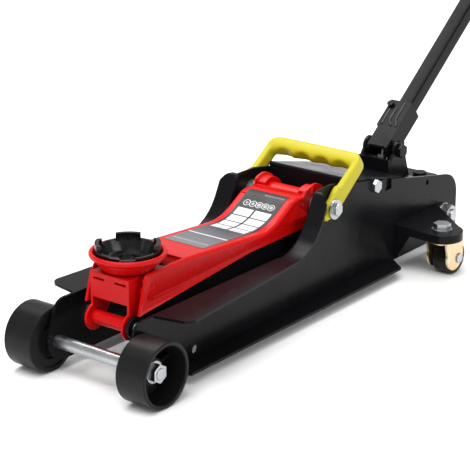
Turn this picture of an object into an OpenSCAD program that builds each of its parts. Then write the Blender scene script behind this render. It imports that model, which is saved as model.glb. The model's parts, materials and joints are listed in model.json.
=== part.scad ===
// Two-tonne hydraulic trolley jack: a wheeled steel frame, a pressed lift arm with a level
// saddle bracket, a hydraulic ram and pump at the rear, and a pump handle.
// +X points to the saddle end, +Y to the jack's left, +Z up, and the wheels stand on z = 0.

/* [Frame] */
// Distance between the outer faces of the two side plates
frame_w = 110; // [90:1:140]
// Thickness of the pressed side plates
plate_t = 3; // [2:0.5:5]
// Height of the top wings beside the lift arm
wing_z = 80; // [60:1:100]
// Width of a wing from the plate's inner face at its front corner
wing_w = 43; // [20:1:60]
// Width of the flange along the curved rise and rear of the wing
rise_w = 23; // [10:1:40]
// Radius of the curved rise from the wing up to the tall rear part
rise_r = 60; // [30:1:90]
// Steepest slope of the curved rise, in degrees
rise_angle = 64; // [40:1:80]
// Height of the side plate at the arm pivot
crest_z = 140; // [110:1:180]
// Height of the bottom edge of the side plates
foot_z = 12; // [6:1:25]
// Width of the bottom flange from the plate's inner face
foot_w = 29; // [10:1:40]
// Distance from the front axle back to the rear edge of the side plates
frame_rear = 611; // [450:1:700]
// Fall of the rear top edge for each millimetre of length
rear_fall = 0.2; // [0:0.01:0.5]

/* [Front wheels] */
// Diameter of the front wheels
wheel_d = 70; // [50:1:100]
// Width of each front wheel
wheel_w = 37.5; // [20:0.5:50]
// Diameter of the front axle between the plates
axle_d = 14; // [10:1:20]
// Diameter of the axle journals that carry the wheels
journal_d = 12; // [8:1:18]

/* [Lift arm] */
// Distance of the arm pivot behind the front axle
pivot_back = 330; // [250:1:400]
// Height of the arm pivot above the floor
pivot_z = 115; // [90:1:140]
// Outside width of the lift arm
arm_w = 74; // [50:1:90]
// Thickness of the arm's pressed sheet
arm_t = 3; // [2:0.5:5]
// Radius of the rounded ears at the arm pivot
ear_r = 24; // [18:1:30]
// Diameter of the arm pivot shaft
shaft_d = 20; // [14:1:30]
// Radius of the crank that the ram pushes
crank_r = 50; // [30:1:70]
// Angle of the crank behind the vertical with the arm down
crank_angle = 22; // [10:1:30]

/* [Saddle] */
// Distance of the saddle's centre behind the front axle
saddle_back = 53.5; // [20:0.5:80]
// Outside diameter of the saddle cup's rim
cup_d = 81; // [60:1:100]
// Outside diameter of the saddle
saddle_d = 68; // [50:1:90]
// Height of the saddle cup's rim with the arm down
cup_z = 131; // [100:1:180]
// Outside width of the saddle bracket
bracket_w = 52; // [40:1:70]

/* [Casters] */
// Diameter of the caster wheels
caster_d = 40; // [30:1:60]
// Width of the caster wheels
caster_w = 22; // [14:1:30]
// Distance of the caster axle behind its swivel axis
caster_trail = 17; // [10:1:30]
// Distance of the swivel axes from the middle of the jack
caster_y = 110; // [80:1:130]
// Distance of the swivel axes behind the front axle
caster_back = 488; // [400:1:560]
// Height of the caster ears
ear_z = 57; // [50:1:80]

/* [Handle] */
// Rise of the pump handle above the horizontal, in degrees
handle_rise = 37.5; // [25:0.5:85]
// Width of the square handle tube
handle_w = 19; // [16:0.5:30]
// Wall thickness of the handle tube
handle_t = 2; // [1:0.5:4]
// Distance from the socket's pivot to the far end of the grip
handle_len = 600; // [400:1:900]
// Distance of the socket's pivot behind the front axle
socket_back = 527; // [480:1:560]
// Height of the socket's pivot
socket_z = 129; // [110:1:150]
// Lean of the carrying handle behind the vertical, in degrees
carry_lean = 54; // [0:1:70]
// Distance from the carrying handle's pivot to the middle of its grip
carry_len = 70; // [50:1:120]

/* [Hidden] */
$fn = 48;
run = 0.05;
half = frame_w / 2;
inner = half - plate_t;
axle_z = wheel_d / 2;
journal_r = journal_d / 2;
wheel_in = half + 2.5;
wheel_out = wheel_in + wheel_w;
hub_len = 20;
hub_out = wheel_in + hub_len;
pivot = [-pivot_back, pivot_z];
arm_half = arm_w / 2;
arm_in = arm_half - arm_t;
saddle_x = -saddle_back;
bracket_half = bracket_w / 2;
bracket_in = bracket_half - 3;
bracket_front = -24;
bracket_top = 111.5;
arm_pin = [-46, 94];
link_pin = [-28, 61];
link_root = pivot + link_pin - arm_pin;
link_in = bracket_half + 1.5;
link_t = 4;
crank = pivot + crank_r * [-sin(crank_angle), -cos(crank_angle)];
ram_z = 66;
block_front = -470;
block_rear = -595;
block_top = 87;
socket = [-socket_back, socket_z];
carry = [-pivot_back, pivot_z];
post = pivot + [-3.4, -19.2];
anchor = [-436, 84];
pump_x = socket[0] - 22;
tie = [-579, 43];
cover_bolt = [-426, 116];
// Shift that puts the origin under the middle of the jack's overall length.
grip_half = handle_w / 2 + 2.5;
handle_end = socket[0] - handle_len * cos(handle_rise) - grip_half * sin(handle_rise);
origin_x = -(axle_z + handle_end) / 2;

red = [0.75, 0.05, 0.04];
black = [0.04, 0.04, 0.045];
nylon = [0.07, 0.07, 0.07];
zinc = [0.75, 0.76, 0.78];
gold = [0.72, 0.58, 0.30];
yellow = [0.93, 0.86, 0.10];
label_grey = [0.16, 0.16, 0.18];
castgrey = [0.25, 0.25, 0.26];

// ---------- shared shapes ----------

// Points of a circular arc in a plane, from angle a0 to a1.
function arc(c, r, a0, a1, n = 8) =
  [for (i = [0:n]) c + r * [cos(a0 + (a1 - a0) * i / n), sin(a0 + (a1 - a0) * i / n)]];

// Outline around two circles of different size joined by their outer tangents.
function strap(p, rp, q, rq, n = 10) =
  let (d = q - p, a = atan2(d[1], d[0]), b = acos((rp - rq) / norm(d)))
  concat(arc(q, rq, a - b, a + b, n), arc(p, rp, a + b, a + 360 - b, n));

function reversed(list) = [for (i = [len(list) - 1:-1:0]) list[i]];

// Everything is drawn from the front axle and moved to the jack's own origin.
module placed() {
  translate([origin_x, 0, 0]) children();
}

// Extrudes an outline drawn in x and z from y0 over the thickness t.
module slab(y0, t) {
  translate([0, y0 + t, 0]) rotate([90, 0, 0]) linear_extrude(t) children();
}

// Both mirrored copies of a left-hand shape.
module both_sides() {
  children();
  mirror([0, 1, 0]) children();
}

// A solid bar of radius r along y at the point p, from y0 to y1.
module bar(p, r, y0, y1) {
  translate([p[0], y1, p[1]]) rotate([90, 0, 0]) cylinder(r = r, h = y1 - y0);
}

// A hexagonal prism along y, measured across its flats.
module hex_bar(p, across, y0, y1) {
  translate([p[0], y1, p[1]]) rotate([90, 30, 0]) cylinder(d = across / cos(30), h = y1 - y0, $fn = 6);
}

// ---------- side plates ----------

nose = [-10, foot_z + 24];
brow = [-12, wing_z - 15];
nose_angle = atan2(brow[1] - nose[1], brow[0] - nose[0]) - acos(9 / norm(brow - nose));
rise_centre = [-238, wing_z + rise_r];
rise_dir = [-cos(rise_angle), sin(rise_angle)];
rise_normal = [sin(rise_angle), cos(rise_angle)];
rise_top = rise_centre - rise_r * rise_normal;
crest_r = 8;
crest_run = (crest_z - crest_r - rise_top[1] + crest_r * rise_normal[1]) / rise_dir[1];
crest_centre = rise_top + crest_run * rise_dir - crest_r * rise_normal;
crest_end = -338;
tail_hole_r = 3.5;
front_hole_r = 5;
tail_hole = [-541, 91];
front_hole = [-94, 22];
notch = [-461, 104];
tail_r = 28;
tail_angle = 90 + atan(rear_fall);
tail_x = -frame_rear + tail_r;
tail_z = crest_z - rear_fall * (crest_end - tail_x) - tail_r / cos(atan(rear_fall));

// Top edge of the wing and of the curved rise, at a depth d below the upper skin.
function rise_path(d) = concat(
  [[-20, wing_z - d], [rise_centre[0], wing_z - d]],
  arc(rise_centre, rise_r + d, -90, -90 - rise_angle, 10),
  arc(crest_centre, crest_r - d, 90 - rise_angle, 75, 4));

module web_outline() {
  polygon(concat(
    arc(nose, 24, -90, nose_angle, 10),
    arc(brow, 15, nose_angle, 90, 5),
    [[rise_centre[0], wing_z]],
    arc(rise_centre, rise_r, -90, -90 - rise_angle, 10),
    arc(crest_centre, crest_r, 90 - rise_angle, 90, 4),
    [[crest_end, crest_z]],
    arc([tail_x, tail_z], tail_r, tail_angle, 180, 8),
    arc([-frame_rear + 6, foot_z + 6], 6, 180, 270, 3)));
}

// Plan of the top wing: wide and rounded in front, tapering towards the rise.
module wing_plan() {
  polygon(concat(
    [[-29, inner], [-35, inner + wing_w - 12]],
    arc([-48, inner + wing_w - 13], 13, 10, 86, 6),
    [[-160, inner + wing_w - 10], [-238, inner + rise_w + 2], [-300, inner + rise_w],
      [-312, half], [-312, inner]]));
}

// Plan of the bottom flange, cut back slantwise at both ends.
module foot_plan() {
  polygon([[-46, inner], [-56, inner + foot_w], [-447, inner + foot_w], [-466, half + 2], [-466, inner]]);
}

module side_plate() {
  difference() {
    union() {
      slab(inner, plate_t) web_outline();
      intersection() {
        slab(inner, wing_w + 5) polygon(concat(rise_path(0), reversed(rise_path(plate_t))));
        linear_extrude(crest_z + 10) wing_plan();
      }
      translate([0, 0, foot_z]) linear_extrude(plate_t) foot_plan();
      bar(anchor, 4, inner - 13, half);
      bar(anchor, 5.5, inner - 14.5, inner - 13);
    }
    bar([0, axle_z], axle_d / 2, inner - 1, half + 1);
    bar(pivot, shaft_d / 2, inner - 1, half + 1);
    bar(link_root, 6, inner - 1, half + 1);
    bar(tie, 7, inner - 1, half + 1);
    bar(cover_bolt, 4, inner - 1, half + 1);
    bar(tail_hole, tail_hole_r, inner - 1, half + 1);
    bar(front_hole, front_hole_r, inner - 1, half + 1);
    translate([notch[0], inner - 1, notch[1]]) cube([13, plate_t + 2, 30]);
  }
}

module side_plate_left() {
  color(black) placed() side_plate();
}

module side_plate_right() {
  color(black) placed() mirror([0, 1, 0]) side_plate();
}

// ---------- front wheels and axle ----------

module front_axle() {
  color(zinc) placed() {
    bar([0, axle_z], axle_d / 2, -wheel_in + 0.5, wheel_in - 0.5);
    both_sides() bar([0, axle_z], journal_r, wheel_in - 0.5, hub_out + 10);
  }
}

module axle_nuts() {
  color(zinc) placed() both_sides() {
    difference() {
      bar([0, axle_z], 12, hub_out + 0.4, hub_out + 1.9);
      bar([0, axle_z], journal_r, hub_out, hub_out + 2.5);
    }
    difference() {
      hex_bar([0, axle_z], 18, hub_out + 1.9, hub_out + 9.4);
      bar([0, axle_z], journal_r, hub_out, hub_out + 10);
    }
  }
}

// Half section of the wheel: a deep outer cup, a web with a hub, and a stepped inner face.
module wheel_section() {
  r = wheel_d / 2;
  polygon([[journal_r + run, 0], [14, 0], [14, 4], [21, 4], [21, 1.5], [r - 5, 1.5], [r - 5, 0],
    [r - 1, 0], [r, 1], [r, wheel_w - 1], [r - 1, wheel_w], [r - 3.5, wheel_w], [r - 4.5, wheel_w - 1],
    [r - 5.5, 10], [15, 8], [14, hub_len], [journal_r + run, hub_len]]);
}

module front_wheel() {
  translate([0, wheel_in, axle_z]) rotate([-90, 0, 0]) {
    rotate_extrude() wheel_section();
    for (a = [0:60:300]) rotate([0, 0, a + 15]) translate([12, -1.5, 6]) cube([18.2, 3, 10]);
  }
}

module front_wheel_left() {
  color(nylon) placed() front_wheel();
}

module front_wheel_right() {
  color(nylon) placed() mirror([0, 1, 0]) front_wheel();
}

// ---------- lift arm ----------

dip_slope = 4.3;
climb = 30;
dip_centre = [-233.2, 176.6];
dip_r = 70;
brow_centre = [-298.5, 104.6];
brow_r = 25;
arm_front = -105;
front_top = [-46, 116];
arm_rear = -316;

// Upper skin of the arm's top sheet, at a depth d below it.
function arm_path(d) = concat(
  [[arm_front, front_top[1] - d]],
  arc(dip_centre, dip_r + d, -90 + dip_slope, -90 - climb, 10),
  arc(brow_centre, brow_r - d, 90 - climb, 90, 6),
  [[arm_rear, brow_centre[1] + brow_r - d]]);

module cheek_outline() {
  polygon(concat(
    [[-27, 75], [-36.5, 107]],
    arc([-46, 106.5], 9.5, 14, 90, 6),
    arm_path(0),
    [[pivot[0], brow_centre[1] + brow_r - 2], [pivot[0], 92.5], [-212, 91.5], [-129, 84.5]]));
  translate(pivot) circle(r = ear_r);
}

module lift_arm() {
  color(red) placed() difference() {
    union() {
      both_sides() {
        slab(arm_in, arm_t) cheek_outline();
        bar(post, 3.5, arm_half, arm_half + 11);
        bar(post, 5, arm_half + 11, arm_half + 12.5);
      }
      slab(-arm_in, 2 * arm_in) polygon(concat(arm_path(0), reversed(arm_path(arm_t))));
      translate([arm_front, -arm_in, front_top[1] - 12]) cube([3, 2 * arm_in, 12]);
    }
    bar(pivot, 15, -arm_half - 1, arm_half + 1);
    bar(arm_pin, 6, -arm_half - 1, arm_half + 1);
  }
}

// Welded tube that turns on the pivot shaft, with a thick collar beside each cheek.
module arm_pivot_tube() {
  color(red) placed() difference() {
    union() {
      bar(pivot, 15, -arm_half, arm_half);
      both_sides() difference() {
        bar(pivot, 21, arm_in - 11, arm_in);
        translate([arm_rear - 1.5, arm_in - 12, pivot[1] - 30]) cube([30, 13, 60]);
      }
    }
    bar(pivot, shaft_d / 2 + run, -arm_half - 1, arm_half + 1);
  }
}

// Two crank plates welded under the pivot tube, either side of the ram's head.
module arm_lever() {
  color(red) placed() both_sides() difference() {
    slab(10, 4) polygon(strap(pivot, 21, crank, 12));
    bar(pivot, 15, 9, 15);
    bar(crank, 6, 9, 15);
    translate([pivot[0] - 30, 9, pivot[1] + 4]) cube([60, 6, 30]);
  }
}

module crank_pin() {
  color(zinc) placed() {
    bar(crank, 6, -16, 16);
    both_sides() bar(crank, 8.5, 14.2, 16);
  }
}

module arm_pivot_shaft() {
  color(zinc) placed() difference() {
    bar(pivot, shaft_d / 2, -half, half);
    both_sides() bar(pivot, 5, half - 22, half + 1);
  }
}

module pivot_spacers() {
  color(zinc) placed() both_sides() difference() {
    bar(pivot, 13, arm_half + 0.5, inner);
    bar(pivot, shaft_d / 2, arm_half, inner + 1);
  }
}

// Printed data label lying on the curved top sheet.
module arm_label() {
  skin = 0.4;
  label_half = 27;
  label_rear = -296;
  label_len = 154;
  color(label_grey) placed() intersection() {
    slab(-label_half, 2 * label_half) polygon(concat(arm_path(-skin), reversed(arm_path(0))));
    translate([label_rear, -label_half, 80]) cube([label_len, 2 * label_half, 60]);
  }
}

// ---------- saddle bracket and level links ----------

module bracket_pin() {
  color(red) placed() bar(arm_pin, 6, -arm_half - 0.6, arm_half + 0.6);
}

module bracket_cheek_outline() {
  polygon([[bracket_front, bracket_top], [-80, bracket_top], [-80, 103], [-62, 84], [-41, 55],
    [-30, 55], [bracket_front, 70]]);
  translate(link_pin) circle(r = 14.5);
}

module saddle_bracket() {
  color(red) placed() difference() {
    union() {
      both_sides() slab(bracket_in, 3) bracket_cheek_outline();
      translate([bracket_front - 3, -bracket_half, 84]) cube([3, bracket_w, bracket_top - 84]);
      translate([-80, -bracket_half, bracket_top - 3.5]) cube([80 + bracket_front, bracket_w, 3.5]);
    }
    for (y = [-22, 7]) translate([bracket_front - 4, y, 104]) cube([5, 15, 2]);
    bar(arm_pin, 6 + run, -bracket_half - 1, bracket_half + 1);
    bar(link_pin, 5, -bracket_half - 1, bracket_half + 1);
    translate([saddle_x, 0, 100]) cylinder(r = 8 + run, h = 20);
  }
}

module bracket_cross_tube() {
  color(red) placed() difference() {
    bar(link_pin, 7.5, -bracket_in, bracket_in);
    bar(link_pin, 5, -bracket_in - 1, bracket_in + 1);
  }
}

module level_link_pin() {
  color(zinc) placed() {
    bar(link_pin, 5, -link_in - link_t - 0.5, link_in + link_t + 0.5);
    both_sides() bar(link_pin, 6.5, link_in + link_t + 0.3, link_in + link_t + 1.8);
  }
}

module level_link() {
  difference() {
    slab(link_in, link_t) polygon(strap(link_root, 11, link_pin, 12));
    bar(link_pin, 5 + run, link_in - 1, link_in + link_t + 1);
    bar(link_root, 5 + run, link_in - 1, link_in + link_t + 1);
  }
}

module level_link_left() {
  color(black) placed() level_link();
}

module level_link_right() {
  color(black) placed() mirror([0, 1, 0]) level_link();
}

// Stub axles in the side plates that carry the rear ends of the level links.
module level_link_stubs() {
  color(black) placed() both_sides() {
    bar(link_root, 6, link_in + link_t + 0.4, half);
    bar(link_root, 5, link_in - 0.4, link_in + link_t + 0.4);
    bar(link_root, 7, link_in - 2, link_in - 0.4);
  }
}

// ---------- saddle ----------

module saddle_cup() {
  r = cup_d / 2;
  base = bracket_top + 1;
  color(red) placed() translate([saddle_x, 0, 0]) rotate_extrude()
    polygon([[4, bracket_top - 5], [8, bracket_top - 5], [8, base - 0.5], [20, base - 0.5], [20, base],
      [27, base], [28.5, base + 1.5], [33.5, base + 8], [35, base + 8.6], [37.6, base + 12.6],
      [r - 0.8, base + 13.6], [r, base + 14.6], [r, cup_z - 1.4], [r - 1, cup_z], [r - 3.5, cup_z],
      [r - 4.5, cup_z - 1], [r - 5, cup_z - 5], [30, base + 6], [26, base + 4], [4, base + 4]]);
}

saddle_floor = bracket_top + 5;
saddle_rim = cup_z + 2.5;
lug_top = cup_z + 8.5;

module saddle_lug() {
  intersection() {
    translate([0, 0, cup_z - 3.5]) difference() {
      cylinder(r = saddle_d / 2, h = lug_top - cup_z + 3.5);
      translate([0, 0, -1]) cylinder(r = saddle_d / 2 - 4.5, h = 40);
    }
    translate([0, -13, 0]) cube([saddle_d, 26, lug_top]);
  }
}

// Cast dish with a raised hub ring, three lugs and a shallow gap in its rim.
module saddle() {
  r = saddle_d / 2;
  color(black) placed() translate([saddle_x, 0, 0]) rotate([0, 0, 40]) difference() {
    union() {
      rotate_extrude()
        polygon([[4, saddle_floor], [24, saddle_floor], [29, saddle_floor + 3], [r, cup_z - 3],
          [r, saddle_rim - 0.8], [r - 0.8, saddle_rim], [r - 3.2, saddle_rim], [r - 4, saddle_rim - 1],
          [25, saddle_floor + 5.5], [15, saddle_floor + 4.5], [14.2, saddle_floor + 7],
          [9.5, saddle_floor + 7], [8.7, saddle_floor + 4.5], [4, saddle_floor + 4.5]]);
      for (a = [90, 180, 270]) rotate([0, 0, a]) saddle_lug();
    }
    translate([20, -8, saddle_rim - 2.5]) cube([30, 16, 10]);
  }
}

module saddle_retainer() {
  color(black) placed() translate([saddle_x, 0, 0]) {
    translate([0, 0, bracket_top - 7.5]) cylinder(r = 12, h = 2.5);
    translate([0, 0, bracket_top - 5]) cylinder(r = 4, h = saddle_floor - bracket_top + 9.5);
    translate([0, 0, saddle_floor + 4.5]) cylinder(r = 6.5, h = 2);
  }
}

// ---------- carrying handle ----------

module at_carry() {
  translate([carry[0], 0, carry[1]]) rotate([0, -carry_lean, 0]) children();
}

leg_in = half + 0.5;
leg_out = half + 9.5;

module carry_leg() {
  difference() {
    slab(leg_in, leg_out - leg_in) {
      polygon(strap([0, 0], 10.5, [0, carry_len - 6], 8.5));
      polygon([[0, -10.5], [10, -16], [5, -19], [-2, -18], [-10, -4]]);
      polygon([[2, 2], [10, 4], [13, 14], [13, 22], [8, 27], [2, 30]]);
    }
    bar([0, 0], 5 + run, leg_in - 1, leg_out + 1);
  }
}

grip_r = 9;
grip_depth = 22.5;
arch_pitch = 26.4;
arch_r = 18;
arch_top = carry_len + grip_r - grip_depth + 4.5;

// Front outline of the handle, with its rounded upper corners.
module carry_front() {
  corner = 18;
  top = carry_len + grip_r - corner;
  polygon(concat([[-leg_out, -25], [leg_out, -25]], arc([leg_out - corner, top], corner, 0, 90, 8),
    arc([corner - leg_out, top], corner, 90, 180, 8)));
}

// Rounded bar across the top, with an arch for each of the four fingers under it.
module carry_grip() {
  grip_low = carry_len + 2 * grip_r - grip_depth;
  difference() {
    slab(1 - leg_out, 2 * leg_out - 2)
      polygon(concat(arc([0, carry_len], grip_r, 0, 180, 10), arc([0, grip_low], grip_r, 180, 360, 10)));
    for (i = [-1.5:1:1.5])
      translate([0, i * arch_pitch, arch_top - arch_r]) rotate([0, 90, 0])
        cylinder(r = arch_r, h = 2 * grip_r + 2, center = true);
  }
}

// Yellow moulded bail: two legs and the grip, which lean back together.
module carry_handle() {
  color(yellow) placed() at_carry() intersection() {
    union() {
      both_sides() carry_leg();
      carry_grip();
    }
    translate([-30, 0, 0]) rotate([90, 0, 90]) linear_extrude(60) carry_front();
  }
}

module carry_handle_bolts() {
  color(zinc) placed() both_sides() {
    bar(carry, 5, half - 20, leg_out + 1);
    bar(carry, 11.5, leg_out + 0.3, leg_out + 2.3);
    hex_bar(carry, 13, leg_out + 2, leg_out + 6.5);
  }
}

// ---------- cover plate and tie rod ----------

cover_front = [-364, 141];
cover_rear = [-492, 110];

module cover_plate() {
  edge = inner - 0.4;
  color(black) placed() {
    slab(-edge, 2 * edge) polygon(concat(
      arc(cover_front + [-3, -3], 3, 0, 76, 4),
      [cover_rear, cover_rear + [0, -2], cover_front + [-4, -3], cover_front + [-2, -3],
        cover_front + [-2, -32], cover_front + [0, -32]]));
    both_sides() difference() {
      slab(edge - 2, 2) polygon([cover_front + [-4, -2.5], cover_front + [-4, -20], [-440, 106],
        cover_rear + [14, -4], cover_rear + [4, -1]]);
      bar(cover_bolt, 4, edge - 3, edge + 1);
    }
  }
}

module cover_bolts() {
  color(zinc) placed() both_sides() {
    bar(cover_bolt, 4, inner - 9, half + 1);
    hex_bar(cover_bolt, 14, half, half + 5);
    difference() {
      hex_bar(cover_bolt, 13, inner - 8, inner - 2.4);
      bar(cover_bolt, 4, inner - 9, inner);
    }
  }
}

module tie_rod() {
  color(zinc) placed() bar(tie, 7, -half - 17, half + 17);
}

module tie_rod_nuts() {
  color(zinc) placed() both_sides() {
    difference() {
      bar(tie, 13, half, half + 3);
      bar(tie, 7, half - 1, half + 4);
    }
    difference() {
      hex_bar(tie, 22, half + 3, half + 14);
      bar(tie, 7, half + 2, half + 15);
    }
  }
}

// ---------- casters ----------

swivel = [-caster_back, caster_y];
ear_t = 3.5;
ear_plan_r = 25;

ear_front = -470;
ear_rear = -566;
ear_plan = concat([[ear_front, half]], arc(swivel, ear_plan_r, 20, 160, 12), [[ear_rear, half]]);

// Pressed ear: a flat top with a turned-down rim, a deep front gusset and a root flange.
module caster_ear() {
  difference() {
    union() {
      translate([0, 0, ear_z - ear_t]) linear_extrude(ear_t) polygon(ear_plan);
      translate([0, 0, ear_z - 10]) linear_extrude(10) difference() {
        polygon(ear_plan);
        polygon(concat([[ear_front - 3, half - 1]], arc(swivel, ear_plan_r - 3, 20, 160, 12),
          [[ear_rear + 3, half - 1]]));
      }
      slab(half, 3) polygon([[ear_front, ear_z], [ear_rear, ear_z], [ear_rear, ear_z - 30],
        [-545, foot_z + 6], [-475, foot_z + 2], [ear_front, foot_z + 6]]);
      translate([ear_front - 3, 0, 0]) rotate([90, 0, 90]) linear_extrude(3)
        polygon([[half, foot_z + 4], [half + 5, foot_z + 4], [half + 21, ear_z - 12],
          [half + 23, ear_z - 9.5], [half + 40, ear_z - 9.5], [half + 40, ear_z], [half, ear_z]]);
    }
    translate([swivel[0], swivel[1], ear_z - 20]) cylinder(r = 6, h = 40);
  }
}

module caster_ear_left() {
  color(black) placed() caster_ear();
}

module caster_ear_right() {
  color(black) placed() mirror([0, 1, 0]) caster_ear();
}

race_top = ear_z - ear_t - 0.5;
fork_top = ear_z - 10.5;

// Swivel bolts: a shank, a washer and a hexagon head above the ear, and a head below the fork.
module caster_bolts() {
  color(zinc) placed() both_sides() translate([swivel[0], swivel[1], 0]) {
    translate([0, 0, fork_top - 6.5]) cylinder(r = 6, h = ear_z - fork_top + 7);
    translate([0, 0, ear_z]) cylinder(r = 12, h = 1.8);
    translate([0, 0, ear_z + 1.8]) cylinder(d = 18 / cos(30), h = 6.5, $fn = 6);
    translate([0, 0, fork_top - 6.5]) cylinder(r = 9, h = 3);
  }
}

leg_gap = caster_w / 2 + 1;
disc = [-8.5, 25];
disc_r = 17.5;

// Pressed fork: a ball race under the ear, a top plate and two round legs beside the wheel.
module caster_fork() {
  translate([swivel[0], swivel[1], 0]) difference() {
    union() {
      translate([0, 0, fork_top - 3]) cylinder(r = 17, h = race_top - fork_top + 3);
      translate([-26, -leg_gap - 2.5, fork_top - 3]) cube([38, 2 * leg_gap + 5, 3]);
      for (y = [-leg_gap - 2.5, leg_gap])
        slab(y, 2.5) {
          translate(disc) circle(r = disc_r);
          polygon([[-25, disc[1] + 3], [8, disc[1] + 3], [12, fork_top - 3], [12, fork_top],
            [-26, fork_top], [-26, fork_top - 3]]);
        }
    }
    translate([0, 0, fork_top - 10]) cylinder(r = 6 + run, h = 20);
    bar([-caster_trail, caster_d / 2], 4, -30, 30);
  }
}

module caster_fork_left() {
  color(gold) placed() caster_fork();
}

module caster_fork_right() {
  color(gold) placed() mirror([0, 1, 0]) caster_fork();
}

module caster_axle() {
  translate([0, swivel[1], 0]) {
    bar([swivel[0] - caster_trail, caster_d / 2], 4, -leg_gap - 4, leg_gap + 4);
    both_sides() bar([swivel[0] - caster_trail, caster_d / 2], 6, leg_gap + 2.5, leg_gap + 4.3);
  }
}

module caster_axle_left() {
  color(zinc) placed() caster_axle();
}

module caster_axle_right() {
  color(zinc) placed() mirror([0, 1, 0]) caster_axle();
}

module caster_wheel() {
  r = caster_d / 2;
  w = caster_w / 2;
  translate([swivel[0] - caster_trail, swivel[1], r]) rotate([90, 0, 0]) rotate_extrude()
    polygon([[4 + run, -w], [8, -w], [8, 2 - w], [r - 5, 2 - w], [r - 5, -w], [r - 1.5, -w], [r, 1.5 - w],
      [r, w - 1.5], [r - 1.5, w], [r - 5, w], [r - 5, w - 2], [8, w - 2], [8, w], [4 + run, w]]);
}

module caster_wheel_left() {
  color(nylon) placed() caster_wheel();
}

module caster_wheel_right() {
  color(nylon) placed() mirror([0, 1, 0]) caster_wheel();
}

// ---------- hydraulic unit ----------

valve_lean = 15;
plug = [-572, 25];
screw_x = [-540, -512];
screw_y = [-30, 30];

module at_valve() {
  translate([socket[0], 0, socket[1]]) rotate([0, -valve_lean, 0]) children();
}

// Cast base block with the pump bore, the valve bore and the tie rod's eye.
module power_unit_block() {
  color(castgrey) placed() difference() {
    slab(-38, 76) polygon([[block_front, 38], [block_front, block_top - 4], [block_front - 4, block_top],
      [block_rear + 5, block_top], [block_rear, block_top - 5], [block_rear, 36], [block_rear + 6, 30],
      [-500, 30], [-492, 38]]);
    bar(tie, 7, -40, 40);
    translate([pump_x, 0, 50]) cylinder(r = 6 + run, h = 60);
    translate([pump_x, 0, spring_seat]) cylinder(r = 12, h = 30);
    at_valve() translate([0, 0, -70]) cylinder(r = 5 + run, h = 40);
    translate([plug[0], plug[1], block_top - 10]) cylinder(r = 6, h = 20);
    for (x = screw_x, y = screw_y) translate([x, y, block_top - 9]) cylinder(r = 3, h = 20);
  }
}

module ram_cylinder() {
  color(castgrey) placed() translate([block_front, 0, ram_z]) rotate([0, 90, 0]) difference() {
    cylinder(r = 20, h = 76);
    translate([0, 0, 6]) cylinder(r = 13, h = 80);
  }
}

module gland_nut() {
  color(zinc) placed() translate([block_front + 76, 0, ram_z]) rotate([0, 90, 0]) difference() {
    cylinder(r = 18.5, h = 9, $fn = 8);
    translate([0, 0, -1]) cylinder(r = 8 + run, h = 12);
  }
}

module ram_rod() {
  color(zinc) placed() translate([block_front + 8, 0, ram_z]) rotate([0, 90, 0]) {
    cylinder(r = 13 - run, h = 12);
    translate([0, 0, 12]) cylinder(r = 8, h = crank[0] - 13 - block_front - 20 + 4);
  }
}

// Ram head with an upright slot in which the crank pin rises and falls.
module ram_head() {
  slot_r = 6.6;
  color(castgrey) placed() difference() {
    slab(-9.5, 19) polygon([[crank[0] - 13, ram_z - 12], [crank[0] - 9, ram_z - 16],
      [crank[0] + 10, ram_z - 16], [crank[0] + 13, ram_z - 13], [crank[0] + 13, ram_z + 15],
      [crank[0] + 10, ram_z + 18], [crank[0] - 9, ram_z + 18], [crank[0] - 13, ram_z + 14]]);
    slab(-10, 20) polygon(concat(arc([crank[0], ram_z + 4.5], slot_r, 0, 180, 10),
      arc([crank[0], ram_z - 3], slot_r, 180, 360, 10)));
    translate([crank[0] - 14, 0, ram_z]) rotate([0, 90, 0]) cylinder(r = 8, h = 5);
  }
}

spring_y = inner - 8;

// Close-wound return spring between the arm's post and the side plate's anchor.
module return_spring() {
  span = anchor - post;
  length = norm(span);
  hook = 8;
  translate([post[0], spring_y, post[1]]) rotate([0, -atan2(span[1], span[0]), 0]) {
    translate([hook + 4, 0, 0]) rotate([0, 90, 0]) difference() {
      cylinder(r = 5.2, h = length - 2 * hook - 8, $fn = 24);
      translate([0, 0, -1]) cylinder(r = 3.7, h = length, $fn = 24);
    }
    for (x = [0, length])
      translate([x, 0, 0]) rotate([90, 0, 0]) difference() {
        cylinder(r = 6, h = 1.5, center = true, $fn = 24);
        cylinder(r = 4.3, h = 3, center = true, $fn = 24);
      }
    for (x = [5.6, length - hook - 4.6]) translate([x, -0.75, -0.75]) cube([hook - 0.6, 1.5, 1.5]);
    for (x = [hook + 3.6, length - hook - 4.6]) translate([x, -0.75, -5]) cube([1.5, 1.5, 10]);
  }
}

module return_spring_left() {
  color(zinc) placed() return_spring();
}

module return_spring_right() {
  color(zinc) placed() mirror([0, 1, 0]) return_spring();
}

// The cam stands level with the socket's pivot half way through the pump stroke.
mid_rise = 61;
cam_r = 22.6;
cam = cam_r * [-sin(mid_rise), cos(mid_rise)];
roller_r = 6;
head_top = socket_z - cam_r * sin(mid_rise - handle_rise) - roller_r - 0.4;
head_t = 4;
spring_seat = 74;

module pump_plunger() {
  color(zinc) placed() translate([pump_x, 0, 0]) {
    translate([0, 0, 62]) cylinder(r = 6, h = head_top - 62);
    translate([0, 0, head_top - head_t]) cylinder(r = 9.5, h = head_t);
  }
}

module pump_spring() {
  color(zinc) placed() translate([pump_x, 0, spring_seat]) difference() {
    cylinder(r = 9, h = head_top - head_t - spring_seat - 0.1);
    translate([0, 0, -1]) cylinder(r = 7, h = 60);
  }
}

module filler_plug() {
  color(black) placed() translate([plug[0], plug[1], 0]) {
    translate([0, 0, block_top - 9]) cylinder(r = 6, h = 9);
    translate([0, 0, block_top]) cylinder(r = 8.5, h = 5);
  }
}

// ---------- pump fork, socket and handle ----------

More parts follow.
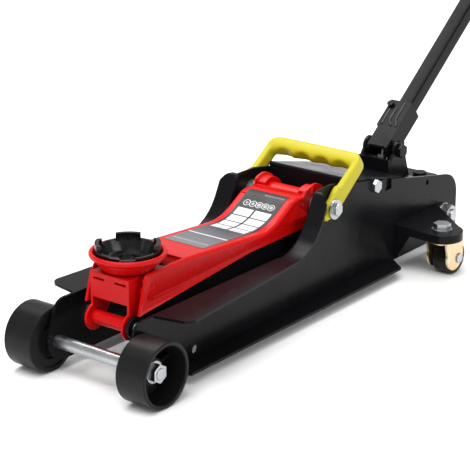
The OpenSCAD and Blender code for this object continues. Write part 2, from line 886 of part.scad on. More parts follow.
module at_handle() {
  translate([socket[0], 0, socket[1]]) rotate([0, -(90 - handle_rise), 0]) children();
}

ear_in = 19;
ear_out = 23;

// U-shaped bracket that stands on the block and carries the fork's pivot.
module socket_bracket() {
  color(black) placed() difference() {
    union() {
      both_sides() {
        slab(ear_in, ear_out - ear_in) polygon(concat(arc(socket, 11.5, -10, 190, 12),
          [[-552, block_top], [-503, block_top], [-503, 112]]));
        translate([-552, ear_in, block_top]) cube([49, 19, 3]);
      }
      translate([-506, -ear_out, block_top]) cube([3, 2 * ear_out, 35]);
    }
    bar(socket, 5, -30, 30);
    for (x = screw_x, y = screw_y) translate([x, y, block_top - 1]) cylinder(r = 3, h = 5);
  }
}

module bracket_screws() {
  color(zinc) placed() for (x = screw_x, y = screw_y) translate([x, y, 0]) {
    translate([0, 0, block_top - 8]) cylinder(r = 3, h = 11.5);
    translate([0, 0, block_top + 3]) cylinder(d = 10 / cos(30), h = 4, $fn = 6);
  }
}

// Shoulder bolts on which the fork swings; the release joint passes between them.
module fork_pivot_bolts() {
  color(black) placed() {
    both_sides() bar(socket, 5, 10, ear_out + 1);
    hex_bar(socket, 15, ear_out, ear_out + 6);
    bar(socket, 7.5, -ear_out - 2.5, -ear_out);
  }
}

fork_end = 16;

// Swinging fork: two cheeks with pump cam lobes, a front wall and a collar for the socket.
module pump_fork() {
  color(black) placed() at_handle() difference() {
    union() {
      both_sides() slab(11, 3) {
        polygon(strap([0, 0], 12, cam, 10));
        polygon([[-14, 8], [-14, fork_end + 6], [14, fork_end + 6], [14, -9], [11, -12], [0, -12]]);
      }
      slab(-14, 28) polygon([[11, -10], [14, -8], [14, fork_end + 6], [11, fork_end + 6]]);
      translate([-14, -14, fork_end]) cube([28, 28, 6]);
    }
    bar([0, 0], 5 + run, -20, 20);
    bar(cam, 4, -20, 20);
    translate([0, 0, fork_end - 1]) cylinder(r = 7 + run, h = 10);
  }
}

module cam_pin() {
  color(zinc) placed() at_handle() {
    bar(cam, 4, -14, 14);
    difference() {
      bar(cam, roller_r, -10.6, 10.6);
      bar(cam, 4, -11, 11);
    }
  }
}

socket_low = fork_end + 6.5;
socket_high = 63;
clamp_out = 1;
clamp_w = 5;
clamp_r = 2.5;
socket_half = handle_w / 2 + 3.3;

// Square sleeve for the handle, split and clamped beside it, on a stub that turns in the fork.
module handle_socket() {
  w = handle_w / 2 + 0.1;
  o = socket_half;
  color(black) placed() at_handle() difference() {
    union() {
      translate([-o, -o - clamp_w, socket_low])
        cube([2 * o, 2 * o + clamp_w, socket_high - socket_low]);
      translate([0, 0, 1]) cylinder(r = 7, h = socket_low);
      translate([0, 0, fork_end - 2.6]) cylinder(r = 9, h = 2.2);
      translate([-o - 2, -5, socket_low + 8]) cube([3, 10, 22]);
    }
    translate([-w, -w, socket_low + 6]) cube([2 * w, 2 * w, 60]);
    translate([5.8, -o - clamp_w - 1, socket_low + 8]) cube([1.6, clamp_w + 5, 60]);
    translate([-o - 1, -o - clamp_out, socket_high - 8]) rotate([0, 90, 0])
      cylinder(r = clamp_r, h = 2 * o + 2);
    translate([-4, -8, 0]) cube([8, 16, 11]);
  }
}

module clamp_bolt() {
  o = socket_half;
  color(black) placed() at_handle() translate([0, -o - clamp_out, socket_high - 8]) rotate([0, 90, 0]) {
    translate([0, 0, -o - 4]) cylinder(r = clamp_r, h = 2 * o + 4);
    translate([0, 0, o]) cylinder(r = 4.2, h = 4);
    translate([0, 0, -o - 4]) cylinder(d = 8 / cos(30), h = 4, $fn = 6);
  }
}

// Square tube with small corner chamfers, drawn from z0 to z1.
module square_tube(w, wall, z0, z1) {
  translate([0, 0, z0]) linear_extrude(z1 - z0) difference() {
    rounded_square(w, 2.5);
    rounded_square(w - 2 * wall, 1);
  }
}

module rounded_square(w, r) {
  c = w / 2 - r;
  polygon(concat(arc([c, c], r, 0, 90, 3), arc([-c, c], r, 90, 180, 3),
    arc([-c, -c], r, 180, 270, 3), arc([c, -c], r, 270, 360, 3)));
}

handle_joint = 320;

module handle_lower() {
  color(black) placed() at_handle() square_tube(handle_w, handle_t, socket_low + 6, handle_joint);
}

// Upper tube with a reduced spigot that plugs into the lower tube.
module handle_upper() {
  spigot = handle_w - 2 * handle_t;
  color(black) placed() at_handle() {
    square_tube(spigot, handle_t, handle_joint - 55, handle_joint + 1);
    square_tube(handle_w, handle_t + 2, handle_joint + 0.4, handle_joint + 4);
    square_tube(handle_w, handle_t, handle_joint + 4, handle_len - 4);
  }
}

module handle_grip() {
  start = handle_len - 118;
  color(nylon) placed() at_handle() difference() {
    union() {
      translate([0, 0, start]) linear_extrude(handle_len - start) rounded_square(handle_w + 5, 5);
      translate([0, 0, start]) linear_extrude(3) rounded_square(handle_w + 9, 6);
      for (i = [1:6])
        translate([0, 0, start + 12 + i * 14]) linear_extrude(4) rounded_square(handle_w + 7, 5.5);
    }
    translate([0, 0, start - 1]) linear_extrude(handle_len - start - 3) rounded_square(handle_w, 2.5);
  }
}

// Release valve spindle with the ball of the joint that the socket's stub turns.
module release_valve() {
  color(zinc) placed() at_valve() {
    translate([0, 0, -66]) cylinder(r = 5, h = 56);
    translate([0, 0, -38]) cylinder(r = 7.5, h = 6, $fn = 6);
    translate([0, 0, -14]) cylinder(r = 6.5, h = 5);
    translate([0, 0, -10]) cylinder(r = 2.2, h = 10);
    sphere(r = 3.1);
  }
}

side_plate_left();
side_plate_right();
front_axle();
axle_nuts();
front_wheel_left();
front_wheel_right();
arm_pivot_shaft();
pivot_spacers();
lift_arm();
arm_pivot_tube();
arm_lever();
crank_pin();
arm_label();
bracket_pin();
saddle_bracket();
bracket_cross_tube();
level_link_pin();
level_link_left();
level_link_right();
level_link_stubs();
saddle_cup();
saddle();
saddle_retainer();
carry_handle();
carry_handle_bolts();
cover_plate();
cover_bolts();
tie_rod();
tie_rod_nuts();
caster_ear_left();
caster_ear_right();
caster_bolts();
caster_fork_left();
caster_fork_right();
caster_axle_left();
caster_axle_right();
caster_wheel_left();
caster_wheel_right();
power_unit_block();
ram_cylinder();
gland_nut();
ram_rod();
ram_head();
return_spring_left();
return_spring_right();
pump_plunger();
pump_spring();
socket_bracket();
bracket_screws();
fork_pivot_bolts();
pump_fork();
cam_pin();
handle_socket();
clamp_bolt();
handle_lower();
handle_upper();
handle_grip();
release_valve();
filler_plug();
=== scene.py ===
import json
import math

import bpy
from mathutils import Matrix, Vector


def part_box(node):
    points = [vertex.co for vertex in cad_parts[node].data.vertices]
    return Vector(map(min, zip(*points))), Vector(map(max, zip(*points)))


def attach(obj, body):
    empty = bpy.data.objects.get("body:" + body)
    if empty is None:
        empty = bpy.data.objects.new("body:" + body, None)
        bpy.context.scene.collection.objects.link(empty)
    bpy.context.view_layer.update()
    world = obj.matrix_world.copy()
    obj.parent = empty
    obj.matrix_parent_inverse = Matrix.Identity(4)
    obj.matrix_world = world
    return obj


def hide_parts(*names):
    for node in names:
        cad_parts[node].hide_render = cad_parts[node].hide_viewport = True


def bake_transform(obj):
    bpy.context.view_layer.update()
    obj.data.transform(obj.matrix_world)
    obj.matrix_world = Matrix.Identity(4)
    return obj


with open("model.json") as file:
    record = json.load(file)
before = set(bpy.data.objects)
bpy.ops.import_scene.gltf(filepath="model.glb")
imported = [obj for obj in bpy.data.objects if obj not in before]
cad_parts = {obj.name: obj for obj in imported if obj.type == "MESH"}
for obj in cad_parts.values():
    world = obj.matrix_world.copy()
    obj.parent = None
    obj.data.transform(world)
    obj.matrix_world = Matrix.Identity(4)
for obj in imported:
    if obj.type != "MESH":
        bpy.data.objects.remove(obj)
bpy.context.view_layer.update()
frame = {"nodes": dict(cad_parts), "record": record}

NODES = frame["nodes"]
MM = 0.001

# ---------- places that the CAD gives ----------


def middle(node):
    """Centre of a CAD node's box."""
    low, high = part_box(node)
    return (low + high) / 2


AXLE = middle("front_axle")
LINK_STUB = middle("level_link_stubs")
FORK_PIVOT = middle("fork_pivot_bolts")

# Slope of the handle at rest.
HANDLE_RISE = math.radians(37.5)


# ---------- materials ----------


class Paint:
    """One procedural material under construction, on the part's own coordinates."""

    # Colour sockets of a mix node, whose names repeat for each kind of data.
    FIRST_COLOUR = 6
    SECOND_COLOUR = 7
    MIXED_COLOUR = 2

    def __init__(self, name):
        self.material = bpy.data.materials.new(name)
        self.material.use_nodes = True
        self.tree = self.material.node_tree
        self.shader = self.tree.nodes["Principled BSDF"]
        self.place = self.add("ShaderNodeTexCoord").outputs["Object"]

    def add(self, kind, **settings):
        node = self.tree.nodes.new(kind)
        for key, value in settings.items():
            setattr(node, key, value)
        return node

    def link(self, source, target):
        self.tree.links.new(source, target)

    def set(self, **values):
        """Fixed values on the shader, with spaces in a socket's name written as underscores."""
        for key, value in values.items():
            self.shader.inputs[key.replace("_", " ")].default_value = value

    def noise(self, size, detail):
        """Noise whose features are about size metres across."""
        noise = self.add("ShaderNodeTexNoise")
        noise.inputs["Scale"].default_value = 1 / size
        noise.inputs["Detail"].default_value = detail
        self.link(self.place, noise.inputs["Vector"])
        return noise.outputs["Fac"]

    def between(self, value, low, high, start=0.3, end=0.7):
        """Maps a value from start..end to low..high."""
        node = self.add("ShaderNodeMapRange")
        node.inputs["From Min"].default_value = start
        node.inputs["From Max"].default_value = end
        node.inputs["To Min"].default_value = low
        node.inputs["To Max"].default_value = high
        self.link(value, node.inputs["Value"])
        return node.outputs["Result"]

    def mottle(self, size, detail, base, other):
        """Colour that wanders between two over patches about size metres across."""
        node = self.add("ShaderNodeMix", data_type="RGBA")
        self.link(self.between(self.noise(size, detail), 0, 1), node.inputs["Factor"])
        node.inputs[self.FIRST_COLOUR].default_value = (*base, 1)
        node.inputs[self.SECOND_COLOUR].default_value = (*other, 1)
        self.link(node.outputs[self.MIXED_COLOUR], self.shader.inputs["Base Color"])

    def shade(self, value, *stops):
        """Colour that follows a value through (place, colour) stops."""
        ramp = self.add("ShaderNodeValToRGB")
        elements = ramp.color_ramp.elements
        while len(elements) < len(stops):
            elements.new(1.0)
        for element, (place, colour) in zip(elements, stops):
            element.position = place
            element.color = (*colour, 1)
        self.link(value, ramp.inputs["Fac"])
        self.link(ramp.outputs["Color"], self.shader.inputs["Base Color"])

    def sheen(self, size, detail, rough, spread):
        """Roughness that wanders from rough to rough + spread."""
        uneven = self.between(self.noise(size, detail), rough, rough + spread)
        self.link(uneven, self.shader.inputs["Roughness"])

    def relief(self, size, detail, depth):
        """Bumps about size metres across and depth metres deep."""
        bump = self.add("ShaderNodeBump")
        bump.inputs["Distance"].default_value = depth
        self.link(self.noise(size, detail), bump.inputs["Height"])
        self.link(bump.outputs["Normal"], self.shader.inputs["Normal"])


def gloss_paint(name, base, deep, rough, shine):
    """Sprayed paint with a faint orange peel and slightly uneven gloss."""
    paint = Paint(name)
    paint.mottle(0.09, 3, base, deep)
    paint.sheen(0.03, 4, rough, 0.08)
    paint.relief(0.003, 1.5, 0.000012)
    paint.set(Specular_IOR_Level=shine)
    return paint.material


def bright_metal(name, base, tint, rough):
    """Bare or plated steel, smooth and faintly tinted."""
    paint = Paint(name)
    paint.mottle(0.02, 2, base, tint)
    paint.sheen(0.008, 3, rough, 0.08)
    paint.relief(0.004, 1.5, 0.000004)
    paint.set(Metallic=1.0)
    return paint.material


def gold_zinc(name):
    """Yellow passivated zinc with its rainbow of green and rose."""
    paint = Paint(name)
    paint.shade(
        paint.noise(0.014, 2),
        (0.28, (0.60, 0.50, 0.24)), (0.42, (0.74, 0.57, 0.27)), (0.52, (0.78, 0.48, 0.36)),
        (0.62, (0.58, 0.58, 0.36)), (0.75, (0.70, 0.60, 0.40)))
    paint.sheen(0.006, 3, 0.26, 0.1)
    paint.relief(0.002, 2, 0.000008)
    paint.set(Metallic=1.0)
    return paint.material


def moulded(name, base, deep, rough, grain, depth, shine):
    """Moulded plastic or rubber with a fine grain."""
    paint = Paint(name)
    paint.mottle(0.03, 3, base, deep)
    paint.sheen(0.012, 4, rough, 0.1)
    paint.relief(grain, 2, depth)
    paint.set(Specular_IOR_Level=shine)
    return paint.material


def casting(name, base, rough, shine):
    """Painted sand casting with a pebbled skin."""
    paint = Paint(name)
    paint.mottle(0.02, 4, base, tuple(1.6 * c for c in base))
    paint.sheen(0.008, 4, rough, 0.14)
    paint.relief(0.003, 2, 0.00004)
    paint.set(Specular_IOR_Level=shine)
    return paint.material


def label_film(name):
    """Printed film, black at the rear and fading to a metallic grey in front."""
    paint = Paint(name)
    along = paint.add("ShaderNodeSeparateXYZ")
    paint.link(paint.place, along.inputs["Vector"])
    low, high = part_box("arm_label")
    paint.shade(
        paint.between(along.outputs["X"], 0, 1, low.x, high.x),
        (0.0, (0.009, 0.009, 0.011)), (0.40, (0.016, 0.016, 0.018)),
        (0.66, (0.10, 0.10, 0.11)), (1.0, (0.15, 0.15, 0.16)))
    paint.sheen(0.01, 3, 0.3, 0.1)
    paint.relief(0.004, 2, 0.000008)
    paint.set(Specular_IOR_Level=0.3)
    return paint.material


def ink(name, base):
    """Printing ink on the label."""
    paint = Paint(name)
    paint.mottle(0.006, 2, base, tuple(0.88 * c for c in base))
    paint.set(Roughness=0.4, Specular_IOR_Level=0.3)
    return paint.material


# Colours come first and then roughness. Paint and castings end with shine, and mouldings with
# their grain's size and depth and then shine.
MATERIALS = {
    "frame_black": gloss_paint("frame_black", (0.004, 0.004, 0.005), (0.006, 0.006, 0.007), 0.22, 0.09),
    "arm_red": gloss_paint("arm_red", (0.51, 0.003, 0.004), (0.44, 0.003, 0.003), 0.24, 0.15),
    "lip_black": gloss_paint("lip_black", (0.006, 0.006, 0.006), (0.009, 0.009, 0.009), 0.16, 0.5),
    "saddle_black": casting("saddle_black", (0.003, 0.003, 0.003), 0.14, 0.28),
    "zinc": bright_metal("zinc", (0.39, 0.41, 0.42), (0.45, 0.46, 0.47), 0.26),
    "gold_zinc": gold_zinc("gold_zinc"),
    "steel": bright_metal("steel", (0.20, 0.20, 0.21), (0.26, 0.26, 0.27), 0.3),
    "cast": casting("cast", (0.010, 0.010, 0.011), 0.4, 0.3),
    "nylon": moulded("nylon", (0.006, 0.006, 0.006), (0.008, 0.008, 0.008), 0.3, 0.0016, 0.00001, 0.14),
    "grip": moulded("grip", (0.012, 0.012, 0.012), (0.018, 0.018, 0.018), 0.55, 0.0008, 0.00004, 0.3),
    "yellow": moulded("yellow", (0.46, 0.40, 0.010), (0.43, 0.375, 0.009), 0.34, 0.0016, 0.00001, 0.25),
    "label": label_film("label"),
    "ink_white": ink("ink_white", (0.66, 0.66, 0.66)),
    "ink_grey": ink("ink_grey", (0.22, 0.22, 0.23)),
    "ink_red": ink("ink_red", (0.62, 0.22, 0.22)),
}


def dress(obj, slot):
    """Gives an object one of the materials above."""
    obj.data.materials.clear()
    obj.data.materials.append(MATERIALS[slot])


for part in frame["record"]["subparts"]:
    dress(NODES[part["node"]], part["material_slot"])


# ---------- rounded edges of the CAD parts ----------

# Corners closer than this many millimetres are one corner.
SAME_CORNER = 0.002

# Angles in degrees: faces flatter than the first are one face, edges sharper than the second are rounded.
FLAT = 0.6
SHARP = 32


def smooth(obj):
    """Smooth shading on every face, which changes no corner."""
    for face in obj.data.polygons:
        face.use_smooth = True


def round_edges(obj, name, radius, segments, group=None):
    """A bevel on the edges of a corner group, or on every sharp edge."""
    bevel = obj.modifiers.new(name, "BEVEL")
    bevel.width = radius * MM
    bevel.segments = segments
    bevel.use_clamp_overlap = group is None
    if group:
        bevel.limit_method = "VGROUP"
        bevel.vertex_group = group
    else:
        bevel.limit_method = "ANGLE"
        bevel.angle_limit = math.radians(SHARP)


def soften(node, radius, fold=None, fold_radius=0):
    """Rounds a CAD node's edges with modifiers, and leaves its mesh as it is."""
    obj = NODES[node]
    smooth(obj)
    if fold:
        group = obj.vertex_groups.new(name="fold")
        corners = [v.index for v in obj.data.vertices if fold(obj.matrix_world @ v.co)]
        group.add(corners, 1.0, "REPLACE")
    obj.modifiers.new("weld", "WELD").merge_threshold = SAME_CORNER * MM
    flat = obj.modifiers.new("flat", "DECIMATE")
    flat.decimate_type = "DISSOLVE"
    flat.angle_limit = math.radians(FLAT)
    if fold:
        round_edges(obj, "fold", fold_radius, segments=4, group="fold")
    round_edges(obj, "edges", radius, segments=3)
    obj.modifiers.new("normals", "WEIGHTED_NORMAL").weight = 100


def melt(node, grain, rounds, keep):
    """Moulds a CAD node into one soft skin with modifiers, and leaves its mesh as it is."""
    obj = NODES[node]
    smooth(obj)
    skin = obj.modifiers.new("skin", "REMESH")
    skin.mode = "VOXEL"
    skin.voxel_size = grain * MM
    skin.use_smooth_shade = True
    obj.modifiers.new("soft", "SMOOTH").iterations = rounds
    obj.modifiers.new("light", "DECIMATE").ratio = keep


# Bends of the sheet metal in millimetres. A corner within NEAR of a bend's line is on it.
NEAR = 0.05

# The inner face of a side plate's web, from which the spring's post stands out.
SPRING_POST = 14.5
WEB_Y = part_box("side_plate_left")[0].y / MM + SPRING_POST

# Height of the flat wing, how far back from the front axle its bend begins and ends, and the
# radius about the link's stub that the bend stays out of.
WING_Z = 80
WING_FROM = 22
WING_TO = 311
STUB_R = 8

# The outer face of the arm's cheeks, whose bends lie above a height and ahead of a distance back.
CHEEK_Y = 37
CHEEK_Z = 105.5
CHEEK_TO = 315.5


def plate_fold(point):
    """True on the bend between a side plate's web and its top wing."""
    back = (AXLE.x - point.x) / MM
    on_web = abs(abs(point.y) / MM - WEB_Y) < NEAR
    clear = math.hypot(point.x - LINK_STUB.x, point.z - LINK_STUB.z) > STUB_R * MM
    return on_web and clear and WING_FROM < back < WING_TO and point.z / MM > WING_Z - 2 * NEAR


def arm_fold(point):
    """True on the bends between the arm's top sheet and its cheeks."""
    back = (AXLE.x - point.x) / MM
    return abs(abs(point.y) / MM - CHEEK_Y) < NEAR and back < CHEEK_TO and point.z / MM > CHEEK_Z


# Test and radius in millimetres of the bends in folded sheets.
FOLDS = {
    "lift_arm": (arm_fold, 4),
    "side_plate_left": (plate_fold, 3.5),
    "side_plate_right": (plate_fold, 3.5),
}

# Edge radius in millimetres, common to most parts, and of the parts that differ.
COMMON_EDGE = 0.4
EDGE = {
    "side_plate_left": 0.8, "side_plate_right": 0.8, "lift_arm": 0.8, "arm_pivot_tube": 0.8,
    "saddle_bracket": 0.9, "cover_plate": 0.8, "saddle": 0.8, "saddle_cup": 0.6,
    "caster_ear_left": 2.2, "caster_ear_right": 2.2, "power_unit_block": 1.5, "handle_socket": 1.2,
    "pump_fork": 1.0, "socket_bracket": 1.0, "filler_plug": 0.8, "tie_rod_nuts": 0.6, "tie_rod": 1.0,
    "caster_fork_left": 0.7, "caster_fork_right": 0.7, "handle_lower": 2.0, "handle_upper": 2.0,
}
UNTOUCHED = {"arm_label", "return_spring_left", "return_spring_right", "pump_spring"}

for node in NODES:
    if node == "carry_handle":
        melt(node, grain=0.8, rounds=70, keep=0.5)
    elif node not in UNTOUCHED:
        soften(node, EDGE.get(node, COMMON_EDGE), *FOLDS.get(node, ()))


# ---------- meshes built here ----------


def show(name, data):
    """A new object in the scene."""
    obj = bpy.data.objects.new(name, data)
    bpy.context.scene.collection.objects.link(obj)
    return obj


def new_piece(name, points, faces, slot, body=None, look=None):
    """A smooth mesh piece in the part's frame, which rides on a body if one is named."""
    mesh = bpy.data.meshes.new(name)
    mesh.from_pydata([tuple(p) for p in points], [], faces)
    mesh.validate()
    obj = show(name, mesh)
    smooth(obj)
    dress(obj, look or slot)
    if body:
        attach(obj, body)
    return obj


def tube(path, radius, sides):
    """Points and faces of a round wire along a path, closed at both ends."""
    points = []
    faces = []
    last = len(path) - 1
    side = (path[1] - path[0]).orthogonal().normalized()
    for i, centre in enumerate(path):
        ahead = (path[min(i + 1, last)] - path[max(i - 1, 0)]).normalized()
        side = (side - ahead * side.dot(ahead)).normalized()
        up = ahead.cross(side)
        for k in range(sides):
            turn = 2 * math.pi * k / sides
            points.append(centre + radius * (math.cos(turn) * side + math.sin(turn) * up))
    for i in range(last):
        for k in range(sides):
            a = i * sides + k
            b = i * sides + (k + 1) % sides
            faces.append((a, b, b + sides, a + sides))
    faces.append(tuple(reversed(range(sides))))
    faces.append(tuple(range(last * sides, (last + 1) * sides)))
    return points, faces


def helix(start, end, radius, turns, steps):
    """Points of a coil about the line from start to end, with so many steps to a turn."""
    axis = (end - start).normalized()
    across = axis.orthogonal().normalized()
    over = axis.cross(across)
    count = int(turns * steps)
    path = []
    for i in range(count + 1):
        turn = 2 * math.pi * i / steps
        path.append(start.lerp(end, i / count) + radius * (math.cos(turn) * across + math.sin(turn) * over))
    return path


def hook(post, inward, up):
    """Ring of wire round a spring's post, open on the side away from the coil."""
    radius = 5.2 * MM
    steps = 12
    reach = math.radians(150)
    path = []
    for i in range(steps + 1):
        turn = -reach + 2 * reach * i / steps
        path.append(post + radius * (math.cos(turn) * inward - math.sin(turn) * up))
    return path


def return_spring(side):
    """Close-wound extension spring with a hook at each post, between the frame and the arm."""
    node = f"return_spring_{side}"
    low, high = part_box(node)
    y = (low.y + high.y) / 2
    hook_reach = 6 * MM
    rear = Vector((low.x + hook_reach, y, low.z + hook_reach))
    front = Vector((high.x - hook_reach, y, high.z - hook_reach))
    axis = (front - rear).normalized()
    up = Vector((-axis.z, 0, axis.x))
    wire = 0.75 * MM
    pitch = 2.05 * wire
    coil = 4.4 * MM
    neck = 11 * MM
    lead = 2 * MM
    begin = rear + neck * axis
    finish = front - neck * axis
    turns = (finish - begin).length / pitch
    path = [
        *hook(rear, axis, up), begin - lead * axis,
        *helix(begin, finish, coil, turns, steps=12),
        finish + lead * axis, *hook(front, -axis, -up)]
    points, faces = tube(path, wire, sides=8)
    obj = new_piece(f"{node}_wire", points, faces, "zinc")
    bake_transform(obj)
    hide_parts(node)


def pump_spring():
    """Compression spring round the plunger, between the block and the plunger's head."""
    low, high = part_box("pump_spring")
    wire = 0.95 * MM
    coil = (high.x - low.x) / 2 - wire
    turns = 8
    foot = Vector(((low.x + high.x) / 2, 0, low.z + wire))
    head = Vector((foot.x, 0, high.z - wire))
    points, faces = tube(helix(foot, head, coil, turns, steps=16), wire, sides=8)
    obj = new_piece("pump_spring_wire", points, faces, "zinc")
    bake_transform(obj)
    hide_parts("pump_spring")


def on_handle(x, y, z):
    """Place in millimetres in the handle's own frame, whose z runs up the tube from the fork's pivot."""
    along = Vector((-math.cos(HANDLE_RISE), 0, math.sin(HANDLE_RISE)))
    front = Vector((math.sin(HANDLE_RISE), 0, math.cos(HANDLE_RISE)))
    return Vector((FORK_PIVOT.x, 0, FORK_PIVOT.z)) + MM * (x * front + y * Vector((0, 1, 0)) + z * along)


def flowing(knots):
    """Catmull-Rom curve through the knots."""
    steps = 6
    ends = [knots[0], *knots, knots[-1]]
    path = []
    for p0, p1, p2, p3 in zip(ends, ends[1:], ends[2:], ends[3:]):
        for i in range(steps):
            t = i / steps
            path.append(0.5 * (2 * p1 + (p2 - p0) * t + (2 * p0 - 5 * p1 + 4 * p2 - p3) * t ** 2
                               + (3 * p1 - p0 - 3 * p2 + p3) * t ** 3))
    path.append(knots[-1])
    return path


def socket_lips():
    """Rolled lips pressed down the front face of the handle's socket, given by (along, across) knots."""
    face = 12.4
    roll = 1.8
    lips = {
        "socket_lip_inner": ((51, -4.2), (43, -4.2), (35, -4.2), (30, -2.6), (27, 0), (24.5, 2)),
        "socket_lip_outer": ((61, 3.4), (52, 3.4), (37, 3.4), (32, 5), (29, 7.6), (24.5, 9)),
        "socket_lip_edge": ((49, -12), (37, -12), (24.5, -12)),
    }
    for name, knots in lips.items():
        path = flowing([on_handle(face, across, along) for along, across in knots])
        points, faces = tube(path, roll * MM, sides=12)
        new_piece(name, points, faces, "frame_black", "handle", "lip_black")


return_spring("left")
return_spring("right")
pump_spring()
socket_lips()


# ---------- printing on the arm's label ----------


def label_profile():
    """Points (distance, x, z) along the label's upper face, from its rear end to its front end."""
    obj = NODES["arm_label"]
    place = obj.matrix_world
    facing_up = 0.3
    upper = {}
    for face in obj.data.polygons:
        if face.normal.z > facing_up:
            for index in face.vertices:
                corner = place @ obj.data.vertices[index].co
                upper[round(corner.x, 6)] = corner.z
    profile = []
    travelled = 0
    for x in sorted(upper):
        if profile:
            travelled += math.hypot(x - profile[-1][1], upper[x] - profile[-1][2])
        profile.append((travelled, x, upper[x]))
    return profile


PROFILE = label_profile()

# Height of the ink above the label, then longest face and width of a dash in millimetres.
INK_LIFT = 0.08 * MM
PATCH_STEP = 1.5
DASH = 0.8


def on_label(along, across):
    """Place just above the label, in millimetres from its rear end and from its middle line."""
    along = min(max(along * MM, 0), PROFILE[-1][0])
    for (s0, x0, z0), (s1, x1, z1) in zip(PROFILE, PROFILE[1:]):
        if along <= s1:
            break
    part = (along - s0) / (s1 - s0)
    slope = math.atan2(z1 - z0, x1 - x0)
    return Vector((
        x0 + part * (x1 - x0) - INK_LIFT * math.sin(slope), across * MM,
        z0 + part * (z1 - z0) + INK_LIFT * math.cos(slope)))


class Print:
    """Flat printed shapes of one ink, which follow the label's curve."""

    def __init__(self, name, look):
        self.name = name
        self.look = look
        self.points = []
        self.faces = []

    def patch(self, s0, s1, t0, t1):
        """Rectangle from s0 to s1 along the label and from t0 to t1 across it."""
        steps = max(1, round((s1 - s0) / PATCH_STEP))
        first = len(self.points)
        for i in range(steps + 1):
            s = s0 + (s1 - s0) * i / steps
            self.points += [on_label(s, t0), on_label(s, t1)]
        for i in range(steps):
            a = first + 2 * i
            self.faces.append((a, a + 2, a + 3, a + 1))

    def ring(self, s, t, outer, inner, sides=28):
        """Ring, or a regular shape with few sides, about a point."""
        first = len(self.points)
        for k in range(sides):
            turn = 2 * math.pi * k / sides
            for radius in (inner, outer):
                self.points.append(on_label(s + radius * math.cos(turn), t + radius * math.sin(turn)))
        for k in range(sides):
            a = first + 2 * k
            b = first + 2 * ((k + 1) % sides)
            self.faces.append((a, a + 1, b + 1, b))

    def done(self):
        new_piece(self.name, self.points, self.faces, "label", "arm", self.look)


WHITE = Print("label_white", "ink_white")
GREY = Print("label_grey", "ink_grey")
RED = Print("label_red", "ink_red")


def picture_signs():
    """Row of five rings across the label, with a simple shape in each."""
    row = 22.5
    pitch = 8.4
    for i, sides in enumerate((3, 4, 28, 6, 5)):
        across = pitch * (i - 2)
        WHITE.ring(row, across, outer=4.5, inner=3.7)
        WHITE.ring(row, across, outer=2.2, inner=0.9, sides=sides)


def cell_table():
    """Four rows of two white cells with three dashes in each, and a red triangle in the first cell."""
    first = 31
    pitch = 13.6
    length = 11.8
    half_width = 10.9
    aside = 12.2
    margin = 3.2
    line_pitch = 2.6
    for row in range(4):
        for column in (-1, 1):
            s = first + pitch * row
            t = column * aside
            WHITE.patch(s, s + length, t - half_width, t + half_width)
            for line in range(3):
                start = s + margin + line_pitch * line
                shorter = 2.5 * ((row + line + column) % 3)
                GREY.patch(start, start + DASH, t - 5, t + 7 - shorter)
    RED.ring(37, -18.5, outer=3.0, inner=2.2, sides=3)


def bars():
    """A long white bar across the label with four grey lines in front of it."""
    first = 123.5
    pitch = 3.4
    WHITE.patch(115.6, 118.2, -26.5, 26.5)
    for i, (left, right) in enumerate(((-20, 8), (-22, 19), (-22, 14), (-20, 20))):
        start = first + pitch * i
        GREY.patch(start, start + DASH, left, right)


def end_marks():
    """A row of small white diamonds at the front end and of grey ticks at the rear end."""
    for i in range(12):
        WHITE.ring(146.5, 4 * i - 22, outer=1.7, inner=1.0, sides=4)
    for i in range(9):
        left = 3 * i - 2
        GREY.patch(5.5, 7.5, left, left + 1.8)


picture_signs()
cell_table()
bars()
end_marks()
for each in (WHITE, GREY, RED):
    each.done()


# ---------- floor, light and camera ----------


def floor():
    """Plain pale floor, just below the wheels."""
    reach = 8
    drop = 0.2 * MM
    corners = [(-reach, -reach, 0), (reach, -reach, 0), (reach, reach, 0), (-reach, reach, 0)]
    mesh = bpy.data.meshes.new("floor")
    mesh.from_pydata(corners, [], [(0, 1, 2, 3)])
    obj = show("floor", mesh)
    paint = Paint("floor")
    paint.mottle(0.5, 3, (0.86, 0.86, 0.86), (0.88, 0.88, 0.88))
    paint.set(Roughness=0.6, Specular_IOR_Level=0.2)
    mesh.materials.append(paint.material)
    obj.location.z = -drop


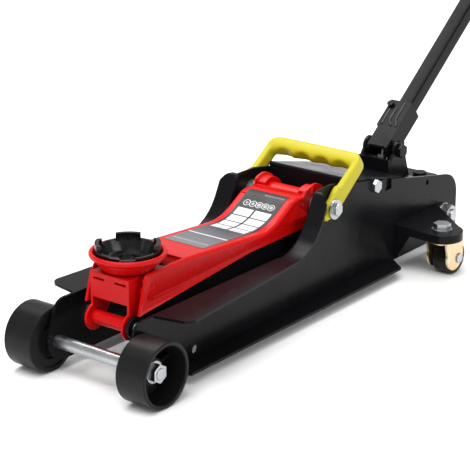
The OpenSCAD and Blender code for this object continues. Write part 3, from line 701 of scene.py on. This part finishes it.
def sky():
    """Pale surroundings that darken overhead."""
    world = bpy.data.worlds.new("studio")
    bpy.context.scene.world = world
    world.use_nodes = True
    tree = world.node_tree
    background = tree.nodes["Background"]
    background.inputs["Strength"].default_value = 0.82
    place = tree.nodes.new("ShaderNodeTexCoord")
    split = tree.nodes.new("ShaderNodeSeparateXYZ")
    ramp = tree.nodes.new("ShaderNodeValToRGB")
    levels = ((0.2, 0.88), (0.7, 0.3))
    for element, (height, level) in zip(ramp.color_ramp.elements, levels):
        element.position = height
        element.color = (level, level, level, 1)
    tree.links.new(place.outputs["Generated"], split.inputs["Vector"])
    tree.links.new(split.outputs["Z"], ramp.inputs["Fac"])
    tree.links.new(ramp.outputs["Color"], background.inputs["Color"])


def sun():
    """Broad soft sun from above, a little to the front and the left of the jack."""
    data = bpy.data.lights.new("sun", "SUN")
    data.energy = 1.75
    data.angle = math.radians(50)
    show("sun", data).rotation_euler = (math.radians(-14), math.radians(26), 0)


def softbox(name, place, target, size, power):
    """Rectangular soft light that faces a point."""
    data = bpy.data.lights.new(name, "AREA")
    data.shape = "RECTANGLE"
    data.size, data.size_y = size
    data.energy = power
    obj = show(name, data)
    obj.location = place
    obj.rotation_euler = (Vector(target) - Vector(place)).to_track_quat("-Z", "Y").to_euler()


def softboxes():
    """Three broad soft lights, and smaller ones that draw the bends."""
    softbox("key", (1.3, -0.4, 2.4), (0.2, 0, 0), (1.6, 1.6), 34)
    softbox("side", (0.2, 2.6, 1.5), (0, 0, 0.1), (1.8, 1.0), 22)
    softbox("back", (-1.0, -1.0, 2.4), (0, 0, 0.1), (1.4, 1.0), 30)
    softbox("overhead_strip", (-0.5, 0.1, 1.9), (0, 0, 0.1), (0.12, 1.6), 10)
    softbox("front_strip", (2.2, -0.9, 0.9), (0.1, 0, 0.08), (0.12, 1.2), 1.5)
    softbox("bend", (0.0, -1.25, 1.95), (-0.3, 0, 0.25), (0.7, 0.5), 8)


def camera():
    """A long lens from in front of the saddle end and to the left of the jack, a little above it."""
    azimuth = math.radians(37.78)
    elevation = math.radians(19.33)
    distance = 1.96999
    aim = Vector((AXLE.x - 0.2246, 0.0057, 0.101))
    level = math.cos(elevation)
    back = Vector((level * math.cos(azimuth), level * math.sin(azimuth), math.sin(elevation)))
    data = bpy.data.cameras.new("camera")
    data.sensor_width = 36
    data.lens = 137.87
    obj = show("camera", data)
    obj.location = aim + distance * back
    obj.rotation_euler = (-back).to_track_quat("-Z", "Y").to_euler()
    bpy.context.scene.camera = obj


floor()
sky()
sun()
softboxes()
camera()
bpy.context.scene.view_settings.view_transform = "Standard"
